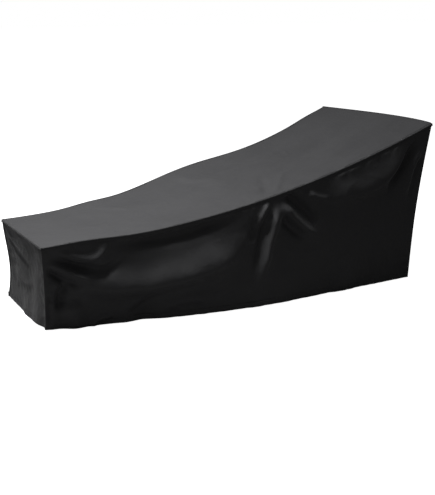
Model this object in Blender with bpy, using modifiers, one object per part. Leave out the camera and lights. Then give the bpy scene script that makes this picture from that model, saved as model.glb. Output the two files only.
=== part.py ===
"""A fitted weather cover for a chaise longue, hanging as it does over the chair.

Five cut cloth panels, each its own closed solid: a long top that swoops up from the foot to the
head, its turned-down lip standing just proud of the four panels sewn under it: foot, head, left
side and right side. The cover is open underneath. Left and right are those of a person lying
on the chair with the head at +X, so the left side is at -Y. Metres, +Z up, hem at the ground.
"""

import bmesh
import bpy
import numpy as np

# The whole cover
LENGTH = 2.000
HEAD_SKEW = 0.055  # the right seam stops this far short of the left one at the head
FOOT_WIDTH = 0.614
HEAD_WIDTH = 0.868
FOOT_HEIGHT = 0.392
HEAD_HEIGHT = 0.812
CLOTH = 0.002

# The turned lip of the top panel, and how the panels under it sit behind it
LIP_DROP = 0.013
LIP_GAP = 0.0010
INSET = CLOTH + LIP_GAP
TUCK_TOP = 0.0068  # the panels start this far under the seam
STRAIGHT = 0.016  # and hang straight down to here, behind the lip
CORNER_GAP = 0.0008

# The hem and the head edge
HEM_HEIGHT = 0.012
BELLY_DROP = 0.0117  # the middle of the foot panel's hem hangs lower, to the ground
HEAD_ARCH = 0.012

# Grid of each panel
TOP_STATIONS = 46
TOP_ROWS = 9
RIGHT_STATIONS = 42
END_STATIONS = 12
END_STRIP = 0.012  # first station in from each corner
FOLD_CLEAR = (0.014, 0.055)  # folds begin this far from a corner, and are whole by here

# Closer stations where the left side is most folded
LEFT_SPACING = [
    # from_x, to_x, stations
    (-0.988, -0.600, 14),
    (-0.600, 0.000, 12),
    (0.000, 0.420, 15),
    (0.420, 0.988, 12),
]
DROP_SPACING = [
    # from_drop, to_drop, rows
    (0.0, 0.6, 9),
    (0.6, 1.0, 4),
]

LEFT, RIGHT = -1, 1

# The hem's place under the seam: how far it swings out, and how far in from each end it is drawn
HEM_SWELL = [
    # along, left_out, right_out
    (0.00, -0.045, -0.025),
    (0.25, 0.024, 0.026),
    (0.50, 0.060, 0.056),
    (0.75, 0.014, 0.020),
    (1.00, -0.036, -0.032),
]
HEM_DRAWN_IN = [
    # side, at_foot, at_head
    (LEFT, 0.017, 0.071),
    (RIGHT, 0.004, 0.055),
]

# Places where a seam rides above or below its even sweep
SEAM_BUMPS = [
    # side, along, rise, half_length
    (LEFT, 0.10, 0.013, 0.09),
    (RIGHT, 0.52, 0.044, 0.17),
    (RIGHT, 0.23, 0.009, 0.06),
    (RIGHT, 0.93, 0.006, 0.05),
]

# Corners pulled in between seam and hem: at the foot and at the head of each side
CORNER_PULL = [
    # side, end, along_x, deepest_drop
    (LEFT, 0, 0.004, 0.5),
    (RIGHT, 0, 0.018, 0.6),
    (LEFT, 1, -0.017, 0.5),
    (RIGHT, 1, -0.014, 0.5),
]

# Ridges (out above zero) and valleys (out below zero) of the side panels.
# A path runs through (x, drop) places: x in metres, drop 0 at the seam and 1 at the hem.
LEFT_FOLDS = [
    # name, out, half_width, path
    ("foot swag valley", -0.016, 0.028, [(-0.96, 0.12), (-0.88, 0.22), (-0.78, 0.32), (-0.70, 0.33), (-0.61, 0.20)]),
    ("foot swag ridge", 0.008, 0.028, [(-0.90, 0.08), (-0.81, 0.17), (-0.72, 0.10)]),
    ("long swag crest", 0.024, 0.060, [(-0.94, 0.24), (-0.83, 0.44), (-0.60, 0.55), (-0.30, 0.52), (-0.12, 0.44), (0.02, 0.14)]),
    ("corner drop valley", -0.016, 0.030, [(-0.97, 0.24), (-0.92, 0.44), (-0.93, 0.62), (-0.93, 0.84)]),
    ("foot hem flare", 0.018, 0.048, [(-0.88, 0.70), (-0.86, 0.88), (-0.86, 1.05)]),
    ("tuck under the seam", -0.014, 0.030, [(-0.70, 0.07), (-0.45, 0.10), (-0.25, 0.09), (-0.05, 0.06)]),
    ("hip pleat", 0.009, 0.028, [(0.09, 0.05), (0.05, 0.14), (0.00, 0.28)]),
    ("hip drop valley", -0.012, 0.030, [(0.06, 0.20), (0.03, 0.42), (-0.01, 0.72)]),
    ("hip drop ridge", 0.018, 0.034, [(0.14, 0.08), (0.11, 0.30), (0.08, 0.52), (0.05, 0.85)]),
    ("back pleat valley", -0.014, 0.044, [(0.20, 0.06), (0.27, 0.13), (0.34, 0.27), (0.41, 0.44)]),
    ("back pleat ridge", 0.016, 0.042, [(0.17, 0.14), (0.22, 0.30), (0.30, 0.48), (0.40, 0.60)]),
    ("head swag crest", 0.016, 0.050, [(0.42, 0.14), (0.54, 0.18), (0.68, 0.19), (0.79, 0.14), (0.89, 0.05)]),
    ("head corner valley", -0.016, 0.034, [(0.93, 0.05), (0.87, 0.16), (0.81, 0.27), (0.77, 0.40)]),
    ("head corner ridge", 0.012, 0.036, [(0.95, 0.12), (0.91, 0.27), (0.88, 0.46)]),
    ("middle hem wave", -0.012, 0.055, [(-0.58, 0.74), (-0.55, 0.90), (-0.55, 1.05)]),
    ("head hem wave", 0.012, 0.065, [(0.52, 0.66), (0.55, 0.86), (0.56, 1.05)]),
]

RIGHT_FOLDS = [
    # name, out, half_width, path
    ("foot swag valley", -0.014, 0.036, [(-0.94, 0.13), (-0.84, 0.24), (-0.74, 0.28), (-0.64, 0.16)]),
    ("long swag crest", 0.022, 0.065, [(-0.93, 0.24), (-0.78, 0.46), (-0.50, 0.58), (-0.20, 0.52), (0.00, 0.22)]),
    ("foot drop valley", -0.014, 0.040, [(-0.88, 0.50), (-0.90, 0.68), (-0.89, 0.90)]),
    ("tuck under the seam", -0.012, 0.032, [(-0.55, 0.08), (-0.30, 0.10), (-0.05, 0.07)]),
    ("hip drop ridge", 0.016, 0.042, [(0.10, 0.10), (0.07, 0.34), (0.04, 0.62), (0.02, 0.88)]),
    ("back pleat valley", -0.013, 0.042, [(0.20, 0.07), (0.28, 0.20), (0.38, 0.40)]),
    ("back pleat ridge", 0.014, 0.040, [(0.16, 0.18), (0.23, 0.36), (0.33, 0.54)]),
    ("head swag crest", 0.014, 0.052, [(0.38, 0.15), (0.54, 0.20), (0.70, 0.17), (0.84, 0.06)]),
    ("head corner valley", -0.013, 0.040, [(0.88, 0.07), (0.83, 0.22), (0.77, 0.38)]),
    ("middle hem wave", -0.010, 0.060, [(-0.38, 0.72), (-0.36, 0.90), (-0.36, 1.05)]),
    ("head hem wave", 0.012, 0.065, [(0.46, 0.66), (0.50, 0.86), (0.50, 1.05)]),
]

# The same on the end panels, in (across, drop): across 0 at the left edge and 1 at the right.
FOOT_FOLDS = [
    # name, out, half_width, path
    ("upper crease ridge", 0.006, 0.032, [(0.90, 0.14), (0.60, 0.22), (0.20, 0.28)]),
    ("upper crease valley", -0.006, 0.032, [(0.92, 0.34), (0.62, 0.42), (0.26, 0.50)]),
    ("lower crease ridge", 0.005, 0.034, [(0.80, 0.70), (0.50, 0.62), (0.16, 0.70)]),
    ("hem belly", 0.009, 0.110, [(0.02, 1.00), (0.34, 1.02), (0.66, 1.04)]),
]

HEAD_FOLDS = [
    # name, out, half_width, path
    ("left drop ridge", 0.008, 0.070, [(0.22, 0.10), (0.28, 0.42), (0.24, 0.80)]),
    ("middle drop valley", -0.010, 0.090, [(0.52, 0.16), (0.48, 0.52), (0.50, 0.92)]),
    ("right drop ridge", 0.008, 0.075, [(0.80, 0.14), (0.74, 0.46), (0.78, 0.84)]),
]

# Soft hollows (rise below zero) and swells of the top panel, in (x, across)
TOP_FOLDS = [
    # name, rise, half_width, path
    ("foot hollow", -0.005, 0.090, [(-0.86, 0.50), (-0.60, 0.48), (-0.34, 0.52)]),
    ("hip cross swell", 0.005, 0.060, [(-0.02, 0.20), (0.02, 0.50), (-0.02, 0.80)]),
    ("hip crease", -0.005, 0.045, [(0.08, 0.14), (0.16, 0.32), (0.24, 0.52)]),
    ("back hollow", -0.007, 0.110, [(0.28, 0.52), (0.50, 0.50), (0.74, 0.52)]),
]


def eased(share):
    """0 to 1 with no corner at either end."""
    share = np.clip(share, 0.0, 1.0)
    return share * share * (3.0 - 2.0 * share)


def smooth_value(rows, at):
    """A smooth curve through rows of (place, value), read at one place."""
    places, values = (np.array(column) for column in zip(*rows))
    slopes = np.gradient(values, places)
    row = int(np.clip(np.searchsorted(places, at) - 1, 0, len(places) - 2))
    step = places[row + 1] - places[row]
    t = (at - places[row]) / step
    return (
        (1 + 2 * t) * (1 - t) ** 2 * values[row]
        + t * (1 - t) ** 2 * step * slopes[row]
        + t * t * (3 - 2 * t) * values[row + 1]
        + t * t * (t - 1) * step * slopes[row + 1]
    )


def smooth_path(places, steps=6):
    """A rounded run of points through a fold's few places."""
    places = np.array(places, float)
    slopes = np.gradient(places, axis=0)
    points = []
    for a, b, slope_a, slope_b in zip(places[:-1], places[1:], slopes[:-1], slopes[1:]):
        for t in np.arange(steps) / steps:
            blend = (1 + 2 * t) * (1 - t) ** 2 * a + t * t * (3 - 2 * t) * b
            points.append(blend + t * (1 - t) ** 2 * slope_a + t * t * (t - 1) * slope_b)
    points.append(places[-1])
    return np.array(points)


class Fold:
    """One ridge or valley: a soft bell across its path, fading out at the path's ends."""

    def __init__(self, out, half_width, places, to_metres):
        self.out = out
        self.half_width = half_width
        self.points = np.array([to_metres(*place) for place in smooth_path(places)])

    def at(self, flat):
        start, end = self.points[:-1], self.points[1:]
        run = end - start
        along = np.clip(((flat - start) * run).sum(1) / (run * run).sum(1), 0.0, 1.0)
        apart = np.linalg.norm(start + along[:, None] * run - flat, axis=1)
        nearest = int(apart.argmin())
        travelled = (nearest + along[nearest]) / len(run)
        fade = eased(4.0 * travelled) * eased(4.0 * (1.0 - travelled))
        return self.out * fade * np.exp(-((apart[nearest] / self.half_width) ** 2))


def seam_point(side, along):
    """The top panel's outer edge on one side; along runs 0 at the foot to 1 at the head."""
    run = LENGTH - (HEAD_SKEW if side == RIGHT else 0.0)
    height = FOOT_HEIGHT + (HEAD_HEIGHT - FOOT_HEIGHT) * along**2
    for bump_side, place, rise, half_length in SEAM_BUMPS:
        if bump_side == side:
            height += rise * np.exp(-(((along - place) / half_length) ** 2))
    width = FOOT_WIDTH + (HEAD_WIDTH - FOOT_WIDTH) * along
    return np.array([-LENGTH / 2 + run * along, side * width / 2, height])


def along_at(side, x):
    run = LENGTH - (HEAD_SKEW if side == RIGHT else 0.0)
    return (x + LENGTH / 2) / run


def hem_point(side, along):
    seam = seam_point(side, along)
    out = smooth_value([(place, left if side == LEFT else right) for place, left, right in HEM_SWELL], along)
    for drawn_side, at_foot, at_head in HEM_DRAWN_IN:
        if drawn_side == side:
            seam[0] += at_foot * (1 - along) - at_head * along
    return np.array([seam[0], seam[1] + side * out, HEM_HEIGHT])


def head_arch(across):
    """How far the head edge is arched up by the chair's back, most of all towards the left."""
    return HEAD_ARCH * np.sin(np.pi * across**0.6)


def corner_pull(side, along, drop):
    pull = 0.0
    for pull_side, end, along_x, deepest in CORNER_PULL:
        if pull_side == side:
            near_end = eased(1.0 - abs(along - end) / 0.2)
            shape = np.sin(np.pi * drop ** (np.log(0.5) / np.log(deepest)))
            pull += along_x * near_end * shape
    return pull


def hanging(seam, hem, drop):
    """A point down a panel. Below zero, drop is the straight strip that hides behind the lip."""
    top = seam - np.array([0.0, 0.0, STRAIGHT])
    if drop < 0:
        return top + np.array([0.0, 0.0, -drop * (STRAIGHT - TUCK_TOP)])
    return top + (hem - top) * drop


def side_folds(side):
    table = LEFT_FOLDS if side == LEFT else RIGHT_FOLDS

    def to_metres(x, drop):
        return (x, seam_point(side, along_at(side, x))[2] * (1 - drop))

    return [Fold(out, half_width, path, to_metres) for _, out, half_width, path in table]


def side_surface(side, folds, along, drop):
    """The outer face of a side panel."""
    seam = seam_point(side, along)
    seam[0] += INSET * (1 - 2 * along)
    seam[1] -= side * INSET
    point = hanging(seam, hem_point(side, along), drop)
    if drop > 0:
        point[0] += corner_pull(side, along, drop)
        from_corner = min(along, 1 - along) * LENGTH
        start, whole = FOLD_CLEAR
        share = eased((from_corner - start) / (whole - start))
        flat = np.array([seam[0], point[2]])
        bulge = sum(fold.at(flat) for fold in folds)
        point[1] += side * bulge * share * eased(drop / 0.08)
    return point


def end_surface(end, folds, across, drop):
    """The outer face of the foot (end 0) or head (end 1) panel, between the two side panels."""
    left = side_surface(LEFT, [], float(end), drop)
    right = side_surface(RIGHT, [], float(end), drop)
    left[1] += CLOTH + CORNER_GAP
    right[1] -= CLOTH + CORNER_GAP
    point = left + (right - left) * across
    if drop > 0:
        width = right[1] - left[1]
        outward = -1 if end == 0 else 1
        flat = np.array([across * width, point[2]])
        share = eased(min(across, 1 - across) * width / FOLD_CLEAR[1])
        bulge = sum(fold.at(flat) for fold in folds)
        point[0] += outward * bulge * share * eased(drop / 0.1)
        if end == 0:
            point[2] -= BELLY_DROP * share * drop**4 * np.sin(np.pi * across) ** 2
    if end == 1:
        point[2] += head_arch(across) * (1 - max(drop, 0.0)) ** 2
    return point


def end_folds(end):
    table = FOOT_FOLDS if end == 0 else HEAD_FOLDS
    width = FOOT_WIDTH if end == 0 else HEAD_WIDTH
    height = FOOT_HEIGHT if end == 0 else HEAD_HEIGHT

    def to_metres(across, drop):
        return (across * width, height * (1 - drop))

    return [Fold(out, half_width, path, to_metres) for _, out, half_width, path in table]


def top_folds():
    def to_metres(x, across):
        return (x, (across - 0.5) * (FOOT_WIDTH + HEAD_WIDTH) / 2)

    return [Fold(rise, half_width, path, to_metres) for _, rise, half_width, path in TOP_FOLDS]


def top_surface(folds, along, across):
    left = seam_point(LEFT, along)
    right = seam_point(RIGHT, along)
    point = left + (right - left) * across
    flat = point[:2]
    share = eased(4.0 * across * (1 - across)) * eased(along / 0.05) * eased((1 - along) / 0.05)
    point[2] += share * sum(fold.at(flat) for fold in folds)
    point[2] += head_arch(across) * eased((along - 0.85) / 0.15)
    return point


def stations(count, length):
    """Even stations from 0 to 1, with one more close in from each end."""
    strip = END_STRIP / length
    inner = np.linspace(strip, 1 - strip, count - 1)
    return np.concatenate([[0.0], inner, [1.0]])


def spaced(table):
    """Runs of even stations, one run for each row of (from, to, count)."""
    runs = [np.linspace(start, stop, count, endpoint=False) for start, stop, count in table]
    return np.concatenate([*runs, [table[-1][1]]])


def left_stations():
    return np.concatenate([[0.0], along_at(LEFT, spaced(LEFT_SPACING)), [1.0]])


def drops():
    """From the hem up to the hidden top edge."""
    return np.concatenate([spaced(DROP_SPACING)[::-1], [-1.0]])


def cloth_material(name, grey, roughness):
    material = bpy.data.materials.new(name)
    material.use_nodes = True
    shader = material.node_tree.nodes["Principled BSDF"]
    shader.inputs["Base Color"].default_value = (grey, grey, grey * 1.03, 1.0)
    shader.inputs["Roughness"].default_value = roughness
    shader.inputs["Metallic"].default_value = 0.0
    return material


def panel(collection, name, columns, rows, surface, material, lip=0.0):
    """A grid laid on a surface(column, row), seen from outside, thickened inwards."""
    grid = bmesh.new()
    bmesh.ops.create_grid(grid, x_segments=len(columns) - 1, y_segments=len(rows) - 1, size=1.0)
    for vertex in grid.verts:
        column = round((vertex.co.x + 1) / 2 * (len(columns) - 1))
        row = round((vertex.co.y + 1) / 2 * (len(rows) - 1))
        vertex.co = surface(columns[column], rows[row])
    if lip:
        border = [edge for edge in grid.edges if edge.is_boundary]
        turned = bmesh.ops.extrude_edge_only(grid, edges=border)["geom"]
        moved = [item for item in turned if isinstance(item, bmesh.types.BMVert)]
        bmesh.ops.translate(grid, verts=moved, vec=(0.0, 0.0, -lip))
    mesh = bpy.data.meshes.new(name)
    grid.to_mesh(mesh)
    grid.free()
    mesh.shade_smooth()
    mesh.set_sharp_from_angle(angle=np.radians(50.0))
    mesh.materials.append(material)
    piece = bpy.data.objects.new(name, mesh)
    collection.objects.link(piece)
    sheet = piece.modifiers.new("cloth thickness", "SOLIDIFY")
    sheet.thickness = CLOTH
    sheet.offset = -1.0
    sheet.use_even_offset = True
    sheet.use_quality_normals = True
    return piece


def build():
    for thing in list(bpy.data.objects):
        bpy.data.objects.remove(thing, do_unlink=True)
    cover = bpy.data.collections.new("chaise_cover")
    bpy.context.scene.collection.children.link(cover)

    rows = drops()

    folds = top_folds()
    panel(
        cover,
        "top_panel",
        stations(TOP_STATIONS, LENGTH),
        np.linspace(0.0, 1.0, TOP_ROWS + 1),
        lambda along, across: top_surface(folds, along, across),
        cloth_material("faded top cloth", 0.055, 0.62),
        lip=LIP_DROP,
    )
    for side, name in ((LEFT, "left_side_panel"), (RIGHT, "right_side_panel")):
        folds_here = side_folds(side)
        columns = left_stations() if side == LEFT else stations(RIGHT_STATIONS, LENGTH)[::-1]
        panel(
            cover,
            name,
            columns,
            rows,
            lambda along, drop: side_surface(side, folds_here, along, drop),
            cloth_material(name + " cloth", 0.030, 0.60),
        )
    for end, name, width in ((0, "foot_panel", FOOT_WIDTH), (1, "head_panel", HEAD_WIDTH)):
        folds_here = end_folds(end)
        columns = stations(END_STATIONS, width)
        if end == 0:
            columns = columns[::-1]
        panel(
            cover,
            name,
            columns,
            rows,
            lambda across, drop: end_surface(end, folds_here, across, drop),
            cloth_material(name + " cloth", 0.034, 0.60),
        )


build()
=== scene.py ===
# %% [markdown]
# # A fitted weather cover for a chaise longue
# Five panels of coated black Oxford cloth hang over a lounge chair that is left out. The whole
# length and the head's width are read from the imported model's box, and the other sizes are typed
# in below. This first cell loads the model and keeps its box for the end.

import bpy
import numpy as np
from mathutils import Euler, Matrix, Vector


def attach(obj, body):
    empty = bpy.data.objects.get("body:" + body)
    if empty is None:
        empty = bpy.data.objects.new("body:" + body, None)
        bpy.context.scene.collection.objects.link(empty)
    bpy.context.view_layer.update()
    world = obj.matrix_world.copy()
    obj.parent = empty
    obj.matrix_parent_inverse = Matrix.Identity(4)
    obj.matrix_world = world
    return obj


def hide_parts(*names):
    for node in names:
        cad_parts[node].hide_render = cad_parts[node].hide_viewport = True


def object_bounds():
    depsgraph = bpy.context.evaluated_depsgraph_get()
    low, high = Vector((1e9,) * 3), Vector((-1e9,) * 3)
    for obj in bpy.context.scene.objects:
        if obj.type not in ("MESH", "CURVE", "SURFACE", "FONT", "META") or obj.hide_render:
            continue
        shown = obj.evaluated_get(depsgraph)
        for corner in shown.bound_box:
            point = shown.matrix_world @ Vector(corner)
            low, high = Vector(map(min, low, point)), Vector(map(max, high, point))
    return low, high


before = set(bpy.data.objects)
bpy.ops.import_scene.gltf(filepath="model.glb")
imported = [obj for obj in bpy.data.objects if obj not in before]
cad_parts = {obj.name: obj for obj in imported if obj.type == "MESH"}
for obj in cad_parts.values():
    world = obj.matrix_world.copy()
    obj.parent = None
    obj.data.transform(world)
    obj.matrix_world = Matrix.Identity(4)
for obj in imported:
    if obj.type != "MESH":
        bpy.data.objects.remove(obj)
cad_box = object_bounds()
low, high = (np.array(corner) for corner in cad_box)
print("frame box", np.round(low, 3), np.round(high, 3))

# %% [markdown]
# ## The sweep of the seams
# On the real cover the chair inside sets the shape: flat over the legs, then curving up the raised
# back. Both long seams follow one parabola, with a few places where the chair lifts the cloth. A
# formula keeps the line smooth however many points are read from it.

# %% Driving sizes
LENGTH = high[0] - low[0]
HEAD_WIDTH = high[1] - low[1]
FOOT_WIDTH = 0.614
FOOT_HEIGHT = 0.392
HEAD_HEIGHT = 0.812
HEAD_SKEW = 0.055
HEAD_ARCH = 0.012
HEM_HEIGHT = 0.0125
BELLY_DROP = 0.0105
LEFT, RIGHT = -1, 1

SEAM_BUMPS = [
    # side, along, rise, half_length
    (LEFT, 0.10, 0.013, 0.090),
    (RIGHT, 0.52, 0.044, 0.170),
    (RIGHT, 0.23, 0.009, 0.060),
    (RIGHT, 0.93, 0.006, 0.050),
]


def eased(share):
    """0 to 1 with no corner at either end."""
    share = np.clip(share, 0.0, 1.0)
    return share * share * (3.0 - 2.0 * share)


def run_length(side):
    return LENGTH - (HEAD_SKEW if side == RIGHT else 0.0)


def seam_line(side, along):
    """Points of a long seam; along is 0 at the foot and 1 at the head."""
    along = np.asarray(along, float)
    height = FOOT_HEIGHT + (HEAD_HEIGHT - FOOT_HEIGHT) * along**2
    for bump_side, place, rise, half_length in SEAM_BUMPS:
        if bump_side == side:
            height = height + rise * np.exp(-(((along - place) / half_length) ** 2))
    width = FOOT_WIDTH + (HEAD_WIDTH - FOOT_WIDTH) * along
    return np.stack([-LENGTH / 2 + run_length(side) * along, side * width / 2, height], -1)


def head_arch(across):
    return HEAD_ARCH * np.sin(np.pi * np.clip(across, 0, 1) ** 0.6)


print("left seam ends at", np.round(seam_line(LEFT, [0.0, 1.0]), 3).tolist())

# %% [markdown]
# ## The hem
# The hem swings out where the sides belly and is drawn in at the four corners, so its line comes
# from a short table read with a smooth curve.

# %% The hem line
HEM_SWELL = [
    # along, left_out, right_out
    (0.00, -0.045, -0.025),
    (0.25, 0.024, 0.026),
    (0.50, 0.060, 0.056),
    (0.75, 0.014, 0.020),
    (1.00, -0.036, -0.032),
]
HEM_DRAWN_IN = {LEFT: (0.017, 0.071), RIGHT: (0.004, 0.055)}
CORNER_PULL = [
    # side, end, along_x, deepest_drop
    (LEFT, 0, 0.004, 0.5),
    (RIGHT, 0, 0.018, 0.6),
    (LEFT, 1, -0.017, 0.5),
    (RIGHT, 1, -0.014, 0.5),
]


def smooth_curve(places, values, at):
    """A smooth curve through (place, value) rows, read at many places."""
    places, values = np.array(places, float), np.array(values, float)
    slopes = np.gradient(values, places)
    row = np.clip(np.searchsorted(places, at) - 1, 0, len(places) - 2)
    step = places[row + 1] - places[row]
    t = (at - places[row]) / step
    start = (1 + 2 * t) * (1 - t) ** 2 * values[row] + t * (1 - t) ** 2 * step * slopes[row]
    end = t * t * (3 - 2 * t) * values[row + 1] + t * t * (t - 1) * step * slopes[row + 1]
    return start + end


def hem_line(side, along):
    seam = seam_line(side, along)
    places, left_out, right_out = zip(*HEM_SWELL)
    out = smooth_curve(places, left_out if side == LEFT else right_out, along)
    at_foot, at_head = HEM_DRAWN_IN[side]
    x = seam[..., 0] + at_foot * (1 - along) - at_head * along
    return np.stack([x, seam[..., 1] + side * out, np.full_like(x, HEM_HEIGHT)], -1)


print("left hem middle at", np.round(hem_line(LEFT, np.array([0.5]))[0], 3).tolist())

# %% [markdown]
# ## Folds
# Each fold is a soft bell across a path, given as (x, drop) points: drop is 0 at the seam
# and 1 at the hem. A fold may be steeper on one flank than the other, as hanging cloth is, so the
# table gives a width for each flank. Fine ripples and crumples come from seeded sums of waves.

# %% Fold tools
PATH_STEPS = 6


def smooth_path(places):
    places = np.array(places, float)
    slopes = np.gradient(places, axis=0)
    t = np.arange(PATH_STEPS)[:, None] / PATH_STEPS
    runs = []
    for a, b, slope_a, slope_b in zip(places[:-1], places[1:], slopes[:-1], slopes[1:]):
        blend = (1 + 2 * t) * (1 - t) ** 2 * a + t * t * (3 - 2 * t) * b
        runs.append(blend + t * (1 - t) ** 2 * slope_a + t * t * (t - 1) * slope_b)
    return np.concatenate([*runs, places[-1:]])


def fold_height(flat, path, out, upper, lower):
    """How far one fold lifts each flat (u, v) point; upper and lower are its flank widths."""
    nearest = np.full(len(flat), 9.0)
    height = np.zeros(len(flat))
    count = len(path) - 1
    for index in range(count):
        start, run = path[index], path[index + 1] - path[index]
        away = flat - start
        along = np.clip(away @ run / (run @ run), 0.0, 1.0)
        offset = away - along[:, None] * run
        apart = np.hypot(offset[:, 0], offset[:, 1])
        flank = np.where(run[0] * away[:, 1] - run[1] * away[:, 0] > 0, upper, lower)
        travelled = (index + along) / count
        fade = eased(3.5 * travelled) * eased(3.5 * (1.0 - travelled))
        closer = apart < nearest
        nearest = np.where(closer, apart, nearest)
        height = np.where(closer, out * fade * np.exp(-((apart / flank) ** 2)), height)
    return height


def folded(flat, table, to_metres):
    total = np.zeros(len(flat))
    for _, out, upper, lower, places in table:
        path = np.array([to_metres(*place) for place in smooth_path(places)])
        total += fold_height(flat, path, out, upper, lower)
    return total


def ripple(flat, wave, seed, stretch=1.0, waves=22):
    """Smooth uneven waves, about -1 to 1, made from seeded plane waves of about one length."""
    rng = np.random.RandomState(seed)
    total = np.zeros(len(flat))
    for _ in range(waves):
        angle, phase = rng.uniform(0, 2 * np.pi, 2)
        number = 2 * np.pi / (wave * rng.uniform(0.7, 1.6))
        travel = flat[:, 0] * np.cos(angle) / stretch + flat[:, 1] * np.sin(angle)
        total += np.sin(number * travel + phase)
    return total / np.sqrt(waves)


def crumple(flat, wave, seed, stretch=1.0):
    """Creased cloth: sharp small ridges between soft hollows."""
    return 1.0 - 2.0 * np.abs(np.tanh(ripple(flat, wave, seed, stretch)))


# %% [markdown]
# ## Where the folds lie
# The long sides swag from corner to corner over the legs, then pinch at the hip, where the raised
# back begins. Folds listed in a table put each swag and pleat where it is wanted, which a
# free-falling simulation would not do.

# %% The folds of each panel
LEFT_FOLDS = [
    # name, out, upper, lower, path
    ("foot swag valley", -0.020, 0.020, 0.030,
     [(-0.98, 0.11), (-0.89, 0.19), (-0.80, 0.29), (-0.72, 0.33), (-0.60, 0.18)]),
    ("foot swag ridge", 0.012, 0.022, 0.016,
     [(-0.95, 0.07), (-0.84, 0.17), (-0.76, 0.18), (-0.70, 0.02)]),
    ("foot inner ridge", 0.014, 0.022, 0.018,
     [(-0.985, 0.16), (-0.92, 0.26), (-0.86, 0.36), (-0.78, 0.44)]),
    ("long swag crest", 0.036, 0.095, 0.048,
     [(-0.93, 0.36), (-0.80, 0.50), (-0.60, 0.56), (-0.42, 0.55), (-0.24, 0.50),
      (-0.12, 0.42), (0.00, 0.16)]),
    ("corner valley", -0.018, 0.020, 0.020,
     [(-0.99, 0.19), (-0.94, 0.34), (-0.88, 0.45), (-0.82, 0.50)]),
    ("corner drop valley", -0.022, 0.030, 0.020, [(-0.89, 0.44), (-0.925, 0.58), (-0.93, 0.84)]),
    ("corner inner drop", -0.008, 0.014, 0.014, [(-0.97, 0.55), (-0.985, 0.75), (-0.98, 0.98)]),
    ("foot hem flare", 0.022, 0.050, 0.036, [(-0.90, 0.66), (-0.875, 0.86), (-0.87, 1.08)]),
    ("foot hem crease", 0.009, 0.018, 0.012, [(-0.80, 1.04), (-0.76, 0.93), (-0.68, 0.90)]),
    ("tuck under the seam", -0.018, 0.030, 0.026,
     [(-0.72, 0.04), (-0.52, 0.08), (-0.38, 0.10), (-0.22, 0.08), (-0.02, 0.04)]),
    ("hip pleat", 0.012, 0.018, 0.014, [(0.09, 0.01), (0.05, 0.11), (0.02, 0.24)]),
    ("hip shadow", -0.010, 0.024, 0.018, [(0.02, 0.10), (0.01, 0.24), (-0.02, 0.36)]),
    ("hip drop valley", -0.014, 0.026, 0.022, [(0.08, 0.16), (0.05, 0.36), (0.01, 0.68)]),
    ("hip drop ridge", 0.024, 0.034, 0.026, [(0.15, 0.03), (0.105, 0.26), (0.07, 0.48), (0.03, 0.86)]),
    ("back pleat valley", -0.022, 0.034, 0.022,
     [(0.15, 0.01), (0.22, 0.09), (0.29, 0.22), (0.38, 0.42)]),
    ("back pleat ridge", 0.020, 0.024, 0.026, [(0.15, 0.03), (0.20, 0.20), (0.28, 0.36), (0.40, 0.54)]),
    ("back under valley", -0.012, 0.020, 0.024, [(0.15, 0.16), (0.20, 0.30), (0.29, 0.48)]),
    ("short seam ridge", 0.011, 0.014, 0.016, [(0.29, 0.05), (0.35, 0.13), (0.43, 0.19)]),
    ("head swag crest", 0.022, 0.075, 0.036,
     [(0.36, 0.13), (0.48, 0.19), (0.62, 0.23), (0.74, 0.20), (0.82, 0.13), (0.90, 0.03)]),
    ("head corner valley", -0.022, 0.026, 0.026,
     [(0.94, 0.02), (0.88, 0.13), (0.83, 0.23), (0.77, 0.38)]),
    ("head corner ridge", 0.014, 0.030, 0.034, [(0.955, 0.08), (0.91, 0.24), (0.88, 0.44)]),
    ("head edge valley", -0.009, 0.020, 0.020, [(0.975, 0.14), (0.95, 0.30), (0.94, 0.52)]),
    ("middle hem wave", -0.014, 0.055, 0.055, [(-0.58, 0.76), (-0.55, 0.90), (-0.55, 1.06)]),
    ("low ripple", 0.008, 0.030, 0.024, [(-0.48, 0.90), (-0.36, 0.82), (-0.20, 0.84)]),
    ("head hem wave", 0.013, 0.065, 0.065, [(0.52, 0.66), (0.55, 0.86), (0.56, 1.06)]),
]
RIGHT_FOLDS = [
    # name, out, upper, lower, path
    ("foot swag valley", -0.017, 0.030, 0.022,
     [(-0.96, 0.12), (-0.86, 0.24), (-0.74, 0.29), (-0.62, 0.14)]),
    ("long swag crest", 0.030, 0.095, 0.050,
     [(-0.94, 0.26), (-0.78, 0.46), (-0.50, 0.58), (-0.20, 0.52), (0.00, 0.20)]),
    ("foot drop valley", -0.018, 0.030, 0.026, [(-0.88, 0.46), (-0.91, 0.66), (-0.90, 0.90)]),
    ("tuck under the seam", -0.014, 0.030, 0.026, [(-0.58, 0.06), (-0.30, 0.09), (-0.03, 0.05)]),
    ("hip drop ridge", 0.020, 0.034, 0.030, [(0.11, 0.06), (0.07, 0.34), (0.04, 0.62), (0.02, 0.90)]),
    ("hip drop valley", -0.010, 0.024, 0.024, [(0.05, 0.10), (0.00, 0.34), (-0.03, 0.60)]),
    ("back pleat valley", -0.017, 0.030, 0.026, [(0.15, 0.04), (0.24, 0.16), (0.37, 0.38)]),
    ("back pleat ridge", 0.017, 0.028, 0.030, [(0.15, 0.14), (0.22, 0.32), (0.34, 0.52)]),
    ("head swag crest", 0.018, 0.070, 0.038, [(0.34, 0.14), (0.52, 0.21), (0.70, 0.18), (0.86, 0.05)]),
    ("head corner valley", -0.017, 0.026, 0.028, [(0.89, 0.04), (0.84, 0.20), (0.76, 0.40)]),
    ("middle hem wave", -0.012, 0.060, 0.060, [(-0.38, 0.72), (-0.36, 0.90), (-0.36, 1.06)]),
    ("head hem wave", 0.012, 0.065, 0.065, [(0.46, 0.66), (0.50, 0.86), (0.50, 1.06)]),
]
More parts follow.
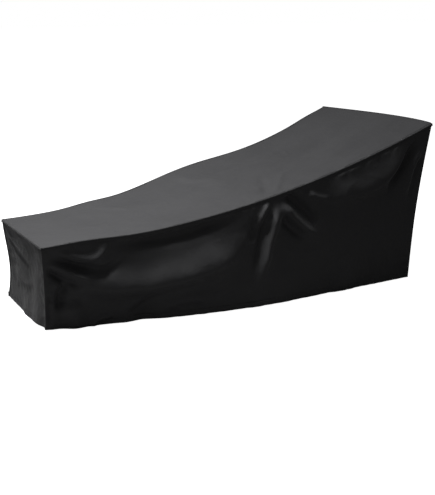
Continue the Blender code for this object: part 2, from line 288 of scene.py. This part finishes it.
FOOT_FOLDS = [
    # name, out, upper, lower, path in (across, drop)
    ("upper crease ridge", 0.007, 0.020, 0.012,
     [(0.97, 0.08), (0.80, 0.18), (0.52, 0.24), (0.20, 0.27)]),
    ("upper crease valley", -0.006, 0.014, 0.026, [(0.96, 0.16), (0.70, 0.28), (0.30, 0.38)]),
    ("lower crease ridge", 0.006, 0.022, 0.014, [(0.86, 0.52), (0.58, 0.60), (0.30, 0.57)]),
    ("corner pucker", 0.005, 0.012, 0.012, [(0.98, 0.34), (0.88, 0.40), (0.74, 0.42)]),
    ("low corner pucker", 0.005, 0.014, 0.012, [(0.98, 0.62), (0.86, 0.70), (0.70, 0.74)]),
    ("hem belly", 0.008, 0.110, 0.110, [(0.02, 1.00), (0.34, 1.02), (0.66, 1.04)]),
]
HEAD_FOLDS = [
    # name, out, upper, lower, path in (across, drop)
    ("left drop ridge", 0.010, 0.050, 0.040, [(0.20, 0.06), (0.28, 0.42), (0.24, 0.84)]),
    ("middle drop valley", -0.012, 0.060, 0.080, [(0.52, 0.12), (0.48, 0.52), (0.50, 0.94)]),
    ("right drop ridge", 0.010, 0.050, 0.060, [(0.82, 0.08), (0.74, 0.46), (0.78, 0.88)]),
    ("top swag", 0.008, 0.050, 0.030, [(0.10, 0.05), (0.45, 0.16), (0.88, 0.06)]),
]
TOP_FOLDS = [
    # name, rise, upper, lower, path in (x, across)
    ("foot hollow", -0.005, 0.090, 0.090, [(-0.86, 0.50), (-0.60, 0.48), (-0.34, 0.52)]),
    ("far pull one", 0.005, 0.030, 0.024, [(-0.60, 0.97), (-0.54, 0.74), (-0.40, 0.56)]),
    ("far pull two", 0.006, 0.030, 0.026, [(-0.10, 0.97), (-0.06, 0.72), (0.06, 0.52)]),
    ("hip cross swell", 0.005, 0.060, 0.050, [(-0.02, 0.16), (0.02, 0.50), (-0.02, 0.84)]),
    ("hip crease", -0.006, 0.026, 0.022, [(0.08, 0.05), (0.15, 0.20), (0.22, 0.42)]),
    ("hip crease ridge", 0.005, 0.020, 0.020, [(0.13, 0.03), (0.21, 0.16), (0.30, 0.32)]),
    ("back hollow", -0.007, 0.110, 0.110, [(0.28, 0.52), (0.50, 0.50), (0.74, 0.52)]),
]
print("folds", [len(t) for t in (LEFT_FOLDS, RIGHT_FOLDS, FOOT_FOLDS, HEAD_FOLDS, TOP_FOLDS)])

# %% [markdown]
# ## Cloth as a grid
# A sewn panel is a cut sheet, so each one is a fine grid laid over its hanging shape. The grid
# keeps a map in metres, length by height, which the weave reads. It is close to the cut cloth but
# not unrolled from it, so the weave stretches a little on steep folds. Solidify gives thickness. At
# the hem the rows turn under and climb a short way up inside.

# %% Build a sheet
CLOTH = 0.0012


def sheet_mesh(name, points, cut):
    """A mesh from a (rows, columns, 3) grid seen from outside, rows upwards, with its map in metres."""
    rows, columns = points.shape[:2]
    index = np.arange(rows * columns).reshape(rows, columns)
    quads = np.stack([index[:-1, :-1], index[:-1, 1:], index[1:, 1:], index[1:, :-1]], -1).reshape(-1, 4)
    mesh = bpy.data.meshes.new(name)
    mesh.from_pydata(points.reshape(-1, 3).tolist(), [], quads.tolist())
    layer = mesh.uv_layers.new(name="cut_metres")
    layer.data.foreach_set("uv", cut.reshape(-1, 2)[quads.ravel()].astype(np.float32).ravel())
    mesh.shade_smooth()
    piece = bpy.data.objects.new(name, mesh)
    bpy.context.scene.collection.objects.link(piece)
    thick = piece.modifiers.new("cloth thickness", "SOLIDIFY")
    thick.thickness = CLOTH
    thick.offset = -1.0
    return piece


HEM_TURN = 0.024
HEM_FOLD = [
    # inwards, below the hem line (metres)
    (0.0000, 0.0006),
    (0.0012, 0.0018),
    (0.0030, 0.0012),
    (0.0036, -0.0040),
    (0.0034, -0.0120),
    (0.0030, -HEM_TURN),
]


def down_rows(count):
    """Drops from the hem to the seam, closer together at the hem's stitch line."""
    return np.concatenate([np.linspace(1.0, 0.90, 22), np.linspace(0.90, 0.0, count)[1:]])


print("rows down a side", len(down_rows(100)))

# %% [markdown]
# ## Side panels
# The sides hang from the long seams. Under the seam the cloth is drawn back a little, so it starts
# behind the lip of the top panel, and it turns round each corner to lie over the end panel's edge.

# %% Side panels
INSET = 0.0030
FOLD_DEPTH = 1.45
TAKEN_UP = 1.03
NEAR_SEAM, NEAR_HEM, NEAR_CORNER = 0.030, 0.06, 0.05
SIDE_WAVES = {
    # name: depth, wave length (metres)
    "seam pucker": (0.0022, 0.045),
    "sway": (0.0026, 0.30),
    "ripple": (0.0012, 0.09),
    "crumple": (0.0007, 0.10),
    "hem wave": (0.0016, 0.07),
    "corner wrinkle": (0.0022, 0.05),
}
STRAIGHT = 0.012
TUCK_TOP = 0.0060
CORNER_TURN = [
    # out past the corner, inwards from the side face (metres), from the flat to the turned edge
    (-0.0012, 0.0000),
    (0.0000, 0.0004),
    (0.0008, 0.0020),
    (0.0006, 0.0060),
    (-0.0004, 0.0100),
]


def pulled_corner(side, along, drop):
    pull = np.zeros_like(along)
    for pull_side, end, along_x, deepest in CORNER_PULL:
        if pull_side == side:
            shape = np.sin(np.pi * np.clip(drop, 0, 1) ** (np.log(0.5) / np.log(deepest)))
            pull = pull + along_x * eased(1.0 - np.abs(along - end) / 0.2) * shape
    return pull


def side_face(side, along, drop, table=(), seed=1):
    """Outer face of a side panel at matching arrays of along and drop."""
    seam, hem = seam_line(side, along), hem_line(side, along)
    seam[..., 0] += INSET * (1 - 2 * along)
    seam[..., 1] -= side * INSET
    top = seam - np.array([0.0, 0.0, STRAIGHT])
    hanging = np.clip(drop, 0, None)
    point = top + (hem - top) * hanging[..., None]
    point[..., 2] += np.clip(-drop, 0, 1) * (STRAIGHT - TUCK_TOP)
    point[..., 0] += pulled_corner(side, along, hanging)
    if len(table) == 0:
        return point
    flat = np.stack([seam[..., 0], point[..., 2]], -1).reshape(-1, 2)

    def to_metres(x, fall):
        share = np.clip((x + LENGTH / 2) / run_length(side), 0, 1)
        return (x, (seam_line(side, share)[2] - STRAIGHT) * (1 - fall) + HEM_HEIGHT * fall)

    bulge = FOLD_DEPTH * folded(flat, table, to_metres)
    below = ((seam[..., 2] - point[..., 2]).ravel() - STRAIGHT).clip(0)
    near_seam = np.exp(-((below / NEAR_SEAM) ** 2))
    near_hem = np.exp(-((flat[:, 1] / NEAR_HEM) ** 2))
    depth, wave = SIDE_WAVES["seam pucker"]
    bulge += depth * near_seam * ripple(flat * [1, 0.15], wave, seed)
    depth, wave = SIDE_WAVES["sway"]
    bulge += depth * ripple(flat, wave, seed + 1, stretch=1.6)
    depth, wave = SIDE_WAVES["ripple"]
    bulge += depth * ripple(flat, wave, seed + 2, stretch=1.4)
    depth, wave = SIDE_WAVES["crumple"]
    bulge += depth * crumple(flat, wave, seed + 3, stretch=1.5)
    depth, wave = SIDE_WAVES["hem wave"]
    bulge += depth * near_hem * ripple(flat * [1, 0.3], wave, seed + 4)
    from_corner = np.minimum(along, 1 - along).ravel() * LENGTH
    near_corner = np.exp(-((from_corner / NEAR_CORNER) ** 2))
    depth, wave = SIDE_WAVES["corner wrinkle"]
    bulge += depth * near_corner * ripple(flat * [0.25, 1], wave, seed + 5)
    bulge *= eased(from_corner / 0.030) * eased(below / 0.016)
    point[..., 1] += side * bulge.reshape(along.shape)
    return point


HEM_STITCH = 0.020
GROOVE_DEPTH, GROOVE_WIDTH = 0.0006, 0.0022


def stitched_groove(above_hem):
    """The dimple along a stitch line, for rows at this height above the hem."""
    return -GROOVE_DEPTH * np.exp(-(((above_hem - HEM_STITCH) / GROOVE_WIDTH) ** 2))


def side_panel(side, name, table, seed, columns=380, rows=92):
    along = np.linspace(0.0, 1.0, columns)
    drop = np.concatenate([down_rows(rows), [-0.5, -1.0]])
    along_grid, drop_grid = np.meshgrid(along, drop)
    face = side_face(side, along_grid, drop_grid, table, seed)
    face[..., 1] += side * stitched_groove(face[..., 2] - HEM_HEIGHT)
    turn = [face[0] + np.array([0.0, -side * inwards, -below]) for inwards, below in HEM_FOLD]
    face = np.concatenate([np.array(turn[::-1]), face])
    start, end = [], []
    for past, inwards in CORNER_TURN:
        start.insert(0, face[:, 0] + np.array([-past, -side * inwards, 0.0]))
        end.append(face[:, -1] + np.array([past, -side * inwards, 0.0]))
    face = np.concatenate([np.stack(start, 1), face[:, 1:-1], np.stack(end, 1)], 1)
    cut = np.stack([face[..., 0] * TAKEN_UP, face[..., 2]], -1)
    if side == RIGHT:
        face, cut = face[:, ::-1], cut[:, ::-1]
    return sheet_mesh(name, face, cut)


left_side = side_panel(LEFT, "left_side_cloth", LEFT_FOLDS, 11)
right_side = side_panel(RIGHT, "right_side_cloth", RIGHT_FOLDS, 31)
print("side faces", len(left_side.data.polygons), len(right_side.data.polygons))

# %% [markdown]
# ## End panels
# The foot and head panels fill between the sides. Their edges lie just behind the turned edges of
# the side panels, as a felled seam does, and the foot panel's hem bellies out and hangs lowest.

# %% End panels
BEHIND_TURN = 0.0028
END_WAVES = {
    # name: depth, wave length (metres)
    "edge pucker": (0.0028, 0.045),
    "sway": (0.0020, 0.22),
    "crumple": (0.0008, 0.09),
}


def end_panel(end, name, table, width, height, seed, columns=130, rows=92):
    outward = -1 if end == 0 else 1
    across = np.linspace(0.0, 1.0, columns)
    drop = np.concatenate([down_rows(rows), [-0.5, -1.0]])
    at_end = np.full_like(drop, float(end))
    left, right = side_face(LEFT, at_end, drop), side_face(RIGHT, at_end, drop)
    left[:, 1] += BEHIND_TURN
    right[:, 1] -= BEHIND_TURN
    face = left[:, None] + (right - left)[:, None] * across[None, :, None]
    across_grid, drop_grid = np.meshgrid(across, drop)
    flat = np.stack([across_grid * width, face[..., 2]], -1).reshape(-1, 2)
    bulge = folded(flat, table, lambda a, fall: (a * width, height * (1 - fall)))
    edge = (np.minimum(across_grid, 1 - across_grid) * width).ravel()
    below = (np.clip(drop_grid, 0, 1) * height).ravel()
    depth, wave = END_WAVES["edge pucker"]
    bulge += depth * np.exp(-((edge / 0.045) ** 2)) * ripple(flat * [0.25, 1], wave, seed)
    depth, wave = END_WAVES["sway"]
    bulge += depth * ripple(flat, wave, seed + 1)
    depth, wave = END_WAVES["crumple"]
    bulge += depth * crumple(flat, wave, seed + 2)
    bulge *= eased(edge / 0.030) * eased(below / 0.020)
    face[..., 0] += outward * (bulge.reshape(across_grid.shape) - BEHIND_TURN)
    face[..., 0] += outward * stitched_groove(face[..., 2] - HEM_HEIGHT)
    if end == 0:
        belly = eased(np.minimum(across_grid, 1 - across_grid) * width / 0.055)
        face[..., 2] -= BELLY_DROP * belly * np.clip(drop_grid, 0, 1) ** 4 * np.sin(np.pi * across_grid) ** 2
    else:
        face[..., 2] += head_arch(across_grid) * (1 - np.clip(drop_grid, 0, 1)) ** 2
    turn = [face[0] + np.array([-outward * inwards, 0.0, -fall]) for inwards, fall in HEM_FOLD]
    face = np.concatenate([np.array(turn[::-1]), face])
    cut = np.stack([face[..., 1], face[..., 2]], -1)
    if end == 0:
        face, cut = face[:, ::-1], cut[:, ::-1]
    return sheet_mesh(name, face, cut)


foot_end = end_panel(0, "foot_cloth", FOOT_FOLDS, FOOT_WIDTH, FOOT_HEIGHT, 51)
head_end = end_panel(1, "head_cloth", HEAD_FOLDS, HEAD_WIDTH, HEAD_HEIGHT, 61, columns=170)
print("end faces", len(foot_end.data.polygons), len(head_end.data.polygons))

# %% [markdown]
# ## Top panel
# The top is one long strip. Its seam is turned down all round as a narrow lip with a slightly raised
# bead, which is what catches the light along the edge and throws the dark line below it.

# %% Top panel
LIP = [
    # out from the seam, up (metres), from the bead to the turned edge
    (-0.0090, 0.0000),
    (-0.0050, 0.0010),
    (-0.0022, 0.0013),
    (-0.0006, 0.0004),
    (0.0000, -0.0020),
    (0.0002, -0.0060),
    (0.0000, -0.0100),
    (-0.0006, -0.0125),
]


TOP_WAVES = {
    # name: depth, wave length (metres)
    "seam pucker": (0.0014, 0.060),
    "sway": (0.0022, 0.30),
    "ripple": (0.0009, 0.10),
    "crumple": (0.0006, 0.12),
}


def top_face(along, across, seed=71):
    left, right = seam_line(LEFT, along), seam_line(RIGHT, along)
    point = left + (right - left) * across[..., None]
    flat = point[..., :2].reshape(-1, 2)

    def to_metres(x, share):
        width = FOOT_WIDTH + (HEAD_WIDTH - FOOT_WIDTH) * (x + LENGTH / 2) / LENGTH
        return (x, (share - 0.5) * width)

    rise = folded(flat, TOP_FOLDS, to_metres)
    edge = (np.minimum(across, 1 - across) * (right - left)[..., 1]).ravel()
    near_seam = np.exp(-((edge / 0.040) ** 2))
    depth, wave = TOP_WAVES["seam pucker"]
    rise += depth * near_seam * ripple(flat * [1, 0.25], wave, seed)
    depth, wave = TOP_WAVES["sway"]
    rise += depth * ripple(flat, wave, seed + 1)
    depth, wave = TOP_WAVES["ripple"]
    rise += depth * ripple(flat, wave, seed + 2)
    depth, wave = TOP_WAVES["crumple"]
    rise += depth * crumple(flat, wave, seed + 3)
    ends = (np.minimum(along, 1 - along) * LENGTH).ravel()
    rise *= eased(edge / 0.030) * eased(ends / 0.030)
    point[..., 2] += rise.reshape(along.shape) + head_arch(across) * eased((along - 0.85) / 0.15)
    return point


def lip_profile(count):
    """Grid offsets before, on and after the flat part: (share, out, up, depth) for each line."""
    out, up = (np.array(column) for column in zip(*LIP))
    depth = np.arange(1, len(LIP) + 1)
    flat_part = np.linspace(0, 1, count)[1:-1]
    zero = np.zeros(len(flat_part))
    share = np.concatenate([np.zeros(len(LIP)), flat_part, np.ones(len(LIP))])
    side = np.concatenate([-out[::-1], zero, out])
    level = np.concatenate([depth[::-1], zero, depth]).astype(int)
    return share, side, level, np.concatenate([[0.0], up])


def top_panel(columns=380, rows=96):
    share_x, side_x, level_x, up = lip_profile(columns)
    share_y, side_y, level_y, _ = lip_profile(rows)
    along, across = np.meshgrid(share_x, share_y)
    face = top_face(along, across)
    face[..., 0] += side_x[None, :]
    face[..., 1] += side_y[:, None]
    level = np.maximum(level_x[None, :], level_y[:, None])
    face[..., 2] += up[level]
    return sheet_mesh("top_cloth", face, face[..., :2].copy())


top = top_panel()
print("top faces", len(top.data.polygons))

# %% [markdown]
# ## Stitching
# Two stitch lines run down each long side: one just above the hem and one along the top panel
# beside the bead. Topstitching is a row of short loops of thread, so each stitch is a tiny tapered
# bar, and all the stitches of a line are one joined mesh. The end panels have only the groove.

# %% Stitch lines
STITCH = 0.0042
STITCH_GAP = 0.0014
THREAD = 0.00042


def stitch_line(name, path, lift):
    """Small six-sided stitches along a path of points, lifted off the cloth."""
    steps = np.linalg.norm(np.diff(path, axis=0), axis=1)
    length = np.concatenate([[0], np.cumsum(steps)])
    starts = np.arange(0.0, length[-1] - STITCH, STITCH + STITCH_GAP)
    ring = np.linspace(0, 2 * np.pi, 6, endpoint=False)
    verts, faces = [], []
    for begin in starts:
        ends = [np.array([np.interp(begin + d, length, path[:, k]) for k in range(3)]) for d in (0, STITCH)]
        axis = (ends[1] - ends[0]) / np.linalg.norm(ends[1] - ends[0])
        away = np.array(lift) / np.linalg.norm(lift)
        across = np.cross(axis, away)
        for share, radius, height in ((0.0, 0.3, 0.1), (0.25, 1.0, 0.9), (0.75, 1.0, 0.9), (1.0, 0.3, 0.1)):
            middle = ends[0] + (ends[1] - ends[0]) * share + away * THREAD * height
            for angle in ring:
                verts.append(middle + THREAD * radius * (np.cos(angle) * across + np.sin(angle) * away))
        base = len(verts) - 24
        for loop in range(3):
            for k in range(6):
                a, b = base + 6 * loop + k, base + 6 * loop + (k + 1) % 6
                faces.append((a, b, b + 6, a + 6))
        faces.append(tuple(base + k for k in range(5, -1, -1)))
        faces.append(tuple(base + 18 + k for k in range(6)))
    mesh = bpy.data.meshes.new(name)
    mesh.from_pydata([tuple(v) for v in verts], [], faces)
    mesh.shade_smooth()
    piece = bpy.data.objects.new(name, mesh)
    bpy.context.scene.collection.objects.link(piece)
    return piece


BESIDE_SEAM = 0.0078
ABOVE_TOP = 0.0003
stitches = []
fine_along = np.linspace(0.004, 0.996, 900)
for side, table, seed in ((LEFT, LEFT_FOLDS, 11), (RIGHT, RIGHT_FOLDS, 31)):
    seam_z = seam_line(side, fine_along)[:, 2] - STRAIGHT
    drop_at_stitch = 1 - HEM_STITCH / (seam_z - HEM_HEIGHT)
    path = side_face(side, fine_along, drop_at_stitch, table, seed)
    path[:, 1] += side * stitched_groove(path[:, 2] - HEM_HEIGHT)
    label = "left" if side == LEFT else "right"
    stitches.append(stitch_line(label + "_hem_stitches", path, (0, side, 0)))
for side, label in ((LEFT, "left"), (RIGHT, "right")):
    across = np.full_like(fine_along, 0.0 if side == LEFT else 1.0)
    path = seam_line(side, fine_along)
    path[:, 1] -= side * BESIDE_SEAM
    path[:, 2] += ABOVE_TOP
    stitches.append(stitch_line(label + "_top_stitches", path, (0, 0, 1)))
print("stitches", [len(s.data.polygons) // 20 for s in stitches])

# %% [markdown]
# ## Shared shader groups
# Three effects are used by more than one cloth, so each is a node group with named sockets: the
# Oxford weave, the soft crinkle that coated cloth keeps, and dust that greys it unevenly.


# %% Group helpers
def new_group(name, inputs, outputs):
    group = bpy.data.node_groups.new(name, "ShaderNodeTree")
    for label, kind, value in inputs:
        socket = group.interface.new_socket(name=label, in_out="INPUT", socket_type=kind)
        if value is not None:
            socket.default_value = value
    for label, kind in outputs:
        group.interface.new_socket(name=label, in_out="OUTPUT", socket_type=kind)
    return group, group.nodes.new("NodeGroupInput"), group.nodes.new("NodeGroupOutput")


def maths(tree, operation, a, b=None):
    """A Math node; a and b are sockets or numbers."""
    node = tree.nodes.new("ShaderNodeMath")
    node.operation = operation
    for slot, value in enumerate((a, b)):
        if value is None:
            continue
        if isinstance(value, (int, float)):
            node.inputs[slot].default_value = value
        else:
            tree.links.new(value, node.inputs[slot])
    return node.outputs[0]


def noise(tree, vector, scale, detail=3.0, roughness=0.55):
    node = tree.nodes.new("ShaderNodeTexNoise")
    node.inputs["Scale"].default_value = scale
    node.inputs["Detail"].default_value = detail
    node.inputs["Roughness"].default_value = roughness
    tree.links.new(vector, node.inputs["Vector"])
    return node.outputs["Fac"]


# %% [markdown]
# The weave is two crossed sine waves, one for each set of threads. The crinkle is ridged noise, and
# the dust is broad patches of noise broken up by a much finer one.

# %% The three groups
def oxford_weave():
    """Basket weave in metres of cut cloth, as the height of its threads."""
    group, given, made = new_group(
        "oxford_weave",
        [("Cut", "NodeSocketVector", None), ("Thread Pitch", "NodeSocketFloat", 0.0011)],
        [("Height", "NodeSocketFloat")],
    )
    split = group.nodes.new("ShaderNodeSeparateXYZ")
    group.links.new(given.outputs["Cut"], split.inputs[0])
    turns = maths(group, "DIVIDE", 3.14159265, given.outputs["Thread Pitch"])
    waves = []
    for axis in ("X", "Y"):
        waves.append(maths(group, "SINE", maths(group, "MULTIPLY", split.outputs[axis], turns)))
    over = maths(group, "MULTIPLY", waves[0], waves[1])
    rounded = maths(group, "POWER", maths(group, "ABSOLUTE", over), 0.6)
    group.links.new(rounded, made.inputs["Height"])
    return group


def crinkle():
    """Fine crinkles left in coated cloth by packing."""
    group, given, made = new_group(
        "packing_crinkle",
        [("Place", "NodeSocketVector", None), ("Scale", "NodeSocketFloat", 22.0)],
        [("Height", "NodeSocketFloat")],
    )
    node = group.nodes.new("ShaderNodeTexNoise")
    node.noise_type = "RIDGED_MULTIFRACTAL"
    node.inputs["Detail"].default_value = 3.0
    group.links.new(given.outputs["Place"], node.inputs["Vector"])
    group.links.new(given.outputs["Scale"], node.inputs["Scale"])
    group.links.new(node.outputs["Fac"], made.inputs["Height"])
    return group


def dust():
    """Uneven dust: broad patches broken by specks."""
    group, given, made = new_group(
        "settled_dust",
        [("Place", "NodeSocketVector", None), ("Amount", "NodeSocketFloat", 0.5)],
        [("Mask", "NodeSocketFloat")],
    )
    broad = noise(group, given.outputs["Place"], 3.2, 4.0)
    specks = noise(group, given.outputs["Place"], 240.0, 2.0)
    both = maths(group, "MULTIPLY", broad, maths(group, "ADD", specks, 0.5))
    group.links.new(maths(group, "MULTIPLY", both, given.outputs["Amount"]), made.inputs["Mask"])
    return group


GROUPS = {"weave": oxford_weave(), "crinkle": crinkle(), "dust": dust()}
print("groups", [group.name for group in GROUPS.values()])

# %% [markdown]
# ## Cloth finishes
# Black coated polyester is dark grey in light, with a slight sheen at glancing angles. The top lies
# face up, so it takes more dust. Its own colour is no lighter than the sides', because it already
# faces the softbox, which is most of why it looks paler.


# %% Finishes
def place_group(tree, group, **values):
    node = tree.nodes.new("ShaderNodeGroup")
    node.node_tree = group
    for label, value in values.items():
        socket = node.inputs[label.replace("_", " ")]
        if isinstance(value, float):
            socket.default_value = value
        else:
            tree.links.new(value, socket)
    return node


def cloth_finish(name, dark, light, dusty, roughness, sheen):
    material = bpy.data.materials.new(name)
    material.use_nodes = True
    tree = material.node_tree
    shader = tree.nodes["Principled BSDF"]
    coords = tree.nodes.new("ShaderNodeTexCoord")
    cut, place = coords.outputs["UV"], coords.outputs["Object"]
    weave = place_group(tree, GROUPS["weave"], Cut=cut)
    creases = place_group(tree, GROUPS["crinkle"], Place=place)
    dirt = place_group(tree, GROUPS["dust"], Place=place, Amount=dusty)
    colour = tree.nodes.new("ShaderNodeMix")
    colour.data_type = "RGBA"
    colour.inputs[6].default_value = (*dark, 1.0)
    colour.inputs[7].default_value = (*light, 1.0)
    tree.links.new(dirt.outputs["Mask"], colour.inputs[0])
    thread = tree.nodes.new("ShaderNodeMix")
    thread.data_type = "RGBA"
    thread.blend_type = "MULTIPLY"
    thread.inputs[0].default_value = 1.0
    tree.links.new(colour.outputs[2], thread.inputs[6])
    shade = maths(tree, "ADD", maths(tree, "MULTIPLY", weave.outputs["Height"], 0.30), 0.80)
    tree.links.new(shade, thread.inputs[7])
    tree.links.new(thread.outputs[2], shader.inputs["Base Color"])
    rough = maths(tree, "ADD", maths(tree, "MULTIPLY", dirt.outputs["Mask"], 0.35), roughness)
    tree.links.new(rough, shader.inputs["Roughness"])
    shader.inputs["Sheen Weight"].default_value = sheen
    shader.inputs["Sheen Roughness"].default_value = 0.45
    shader.inputs["Specular IOR Level"].default_value = 0.45
    first = tree.nodes.new("ShaderNodeBump")
    first.inputs["Distance"].default_value = 0.0016
    first.inputs["Strength"].default_value = 0.55
    tree.links.new(creases.outputs["Height"], first.inputs["Height"])
    second = tree.nodes.new("ShaderNodeBump")
    second.inputs["Distance"].default_value = 0.00018
    second.inputs["Strength"].default_value = 0.6
    tree.links.new(weave.outputs["Height"], second.inputs["Height"])
    tree.links.new(first.outputs["Normal"], second.inputs["Normal"])
    tree.links.new(second.outputs["Normal"], shader.inputs["Normal"])
    return material


FINISHES = {
    # name, clean colour, dusted colour, dust, roughness, sheen
    "top": ("dusty black top cloth", (0.024, 0.024, 0.026), (0.050, 0.050, 0.052), 0.60, 0.62, 0.10),
    "side": ("black side cloth", (0.027, 0.027, 0.029), (0.060, 0.060, 0.062), 0.40, 0.55, 0.12),
    "thread": ("black thread", (0.030, 0.030, 0.031), (0.060, 0.060, 0.060), 0.30, 0.45, 0.30),
}
top_finish = cloth_finish(*FINISHES["top"])
side_finish = cloth_finish(*FINISHES["side"])
thread_finish = cloth_finish(*FINISHES["thread"])

for piece, finish in (
    (top, top_finish),
    (left_side, side_finish),
    (right_side, side_finish),
    (foot_end, side_finish),
    (head_end, side_finish),
    *((line, thread_finish) for line in stitches),
):
    piece.data.materials.append(finish)
print("finishes", top_finish.name, "/", side_finish.name)

# %% [markdown]
# ## Tie each piece to the frame
# Each cloth rides on the root body and hides the solid that it stands for.

# %% Ride and replace
CUT = [
    # piece, node, slot, flat width and length, cut area
    (top, "top_panel", "top_cloth", (0.90, 2.14), 1.62),
    (left_side, "left_side_panel", "side_cloth", (0.84, 2.06), 1.10),
    (right_side, "right_side_panel", "side_cloth", (0.84, 2.04), 1.10),
    (foot_end, "foot_panel", "side_cloth", (0.62, 0.42), 0.245),
    (head_end, "head_panel", "side_cloth", (0.87, 0.84), 0.71),
]
for piece, node, slot_name, _, _ in CUT:
    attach(piece, "root")
    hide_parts(node)
for line in stitches:
    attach(line, "root")
print("declared", len(CUT), "sheets")

# %% [markdown]
# ## Floor
# A wide sheet of pale paper. The camera sees it white, while the cloth receives only a dim bounce
# from it, so the black sides stay black.

# %% Floor
floor_mesh = bpy.data.meshes.new("studio_floor")
REACH = 40.0
corners = [(-REACH, -REACH, 0), (REACH, -REACH, 0), (REACH, REACH, 0), (-REACH, REACH, 0)]
floor_mesh.from_pydata(corners, [], [(0, 1, 2, 3)])
floor = bpy.data.objects.new("studio_floor", floor_mesh)
floor.location.z = low[2] - 0.0005
bpy.context.scene.collection.objects.link(floor)
paper = bpy.data.materials.new("pale paper")
paper.use_nodes = True
tree = paper.node_tree
paper_shader = tree.nodes["Principled BSDF"]
paper_shader.inputs["Base Color"].default_value = (0.86, 0.86, 0.86, 1)
paper_shader.inputs["Roughness"].default_value = 0.9
paper_shader.inputs["Specular IOR Level"].default_value = 0.1
paper_shader.inputs["Emission Color"].default_value = (1, 1, 1, 1)
paper_shader.inputs["Emission Strength"].default_value = 1.0
dim = tree.nodes.new("ShaderNodeBsdfDiffuse")
dim.inputs["Color"].default_value = (0.20, 0.20, 0.20, 1)
seen = tree.nodes.new("ShaderNodeLightPath")
mix = tree.nodes.new("ShaderNodeMixShader")
tree.links.new(seen.outputs["Is Camera Ray"], mix.inputs[0])
tree.links.new(dim.outputs[0], mix.inputs[1])
tree.links.new(paper_shader.outputs[0], mix.inputs[2])
tree.links.new(mix.outputs[0], tree.nodes["Material Output"].inputs["Surface"])
floor_mesh.materials.append(paper)

# %% [markdown]
# ## Lights and sky
# One softbox hangs high over the foot end, so the top panel darkens towards the head. A weak fill
# stands beyond the foot, and a dim even sky fills the rest; the camera sees that sky as white.

# %% Lights and sky
def softbox(name, place, target, size, power):
    lamp = bpy.data.lights.new(name, "AREA")
    lamp.shape = "DISK"
    lamp.size = size
    lamp.energy = power
    holder = bpy.data.objects.new(name, lamp)
    holder.location = place
    holder.rotation_euler = (Vector(target) - Vector(place)).to_track_quat("-Z", "Y").to_euler()
    bpy.context.scene.collection.objects.link(holder)
    return holder


softbox("overhead_softbox", (-1.1, 0.2, 2.7), (-0.5, 0.0, 0.3), 1.0, 104.0)
softbox("foot_fill", (-4.2, -0.4, 1.4), (-0.8, 0.0, 0.3), 1.2, 3.0)
world = bpy.data.worlds.new("pale sky")
world.use_nodes = True
world.node_tree.nodes["Background"].inputs["Color"].default_value = (1, 1, 1, 1)
world.node_tree.nodes["Background"].inputs["Strength"].default_value = 0.12
seen_sky = world.node_tree.nodes.new("ShaderNodeBackground")
seen_sky.inputs["Color"].default_value = (1, 1, 1, 1)
sky_mix = world.node_tree.nodes.new("ShaderNodeMixShader")
sky_path = world.node_tree.nodes.new("ShaderNodeLightPath")
world.node_tree.links.new(sky_path.outputs["Is Camera Ray"], sky_mix.inputs[0])
world.node_tree.links.new(world.node_tree.nodes["Background"].outputs[0], sky_mix.inputs[1])
world.node_tree.links.new(seen_sky.outputs[0], sky_mix.inputs[2])
world.node_tree.links.new(sky_mix.outputs[0], world.node_tree.nodes["World Output"].inputs["Surface"])
bpy.context.scene.world = world
bpy.context.scene.view_settings.view_transform = "Standard"

# %% [markdown]
# ## Camera
# A long lens stands off the near corner of the foot and looks slightly down.

# %% Camera
lens = bpy.data.cameras.new("camera")
lens.lens = 65.8
lens.sensor_width = 36.0
camera = bpy.data.objects.new("camera", lens)
LOOKING_DOWN, TURNED_RIGHT = 15.39, 28.34
camera.location = (-2.091, -3.902, 1.414)
camera.rotation_euler = Euler((np.radians(90.0 - LOOKING_DOWN), 0.0, np.radians(-TURNED_RIGHT)))
bpy.context.scene.collection.objects.link(camera)
bpy.context.scene.camera = camera
print("camera at", [round(v, 2) for v in camera.location])
